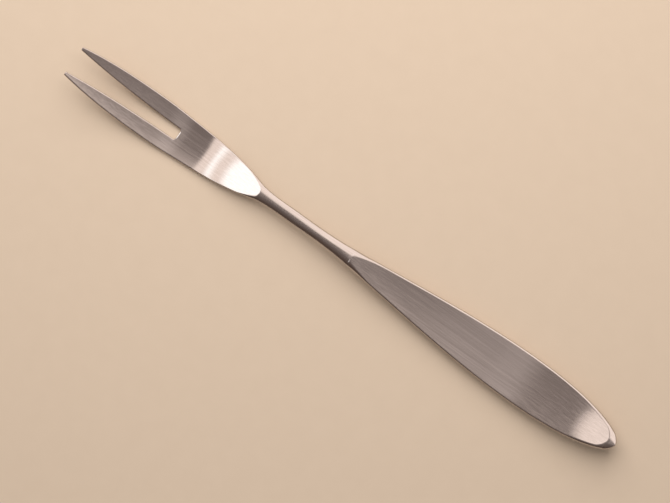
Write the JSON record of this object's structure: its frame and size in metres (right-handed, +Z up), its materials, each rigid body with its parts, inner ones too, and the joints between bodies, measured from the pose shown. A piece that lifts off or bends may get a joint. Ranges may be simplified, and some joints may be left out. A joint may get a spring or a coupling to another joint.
{
  "type": "meat fork",
  "caption": "Slim two-tined serving fork of brushed stainless steel: curved tines, a slim waisted neck and a flat-faced handle brazed onto the fork's tang.",
  "frame": {"origin": "on the table under the middle of the fork's length and width, with the fork lying face up", "axes": "+X from the butt of the handle towards the tine tips, +Z up, out of the faces"},
  "size_m": [0.21, 0.0166, 0.0102],
  "materials": {
    "fork_steel": "satin, brushed lengthwise",
    "handle_steel": "satin, brushed lengthwise",
    "braze_alloy": "as flowed, hidden inside the handle"
  },
  "bodies": {
    "root": {"fork_forging": "fork_steel", "handle": "handle_steel", "tang_braze": "braze_alloy"}
  },
  "joints": []
}
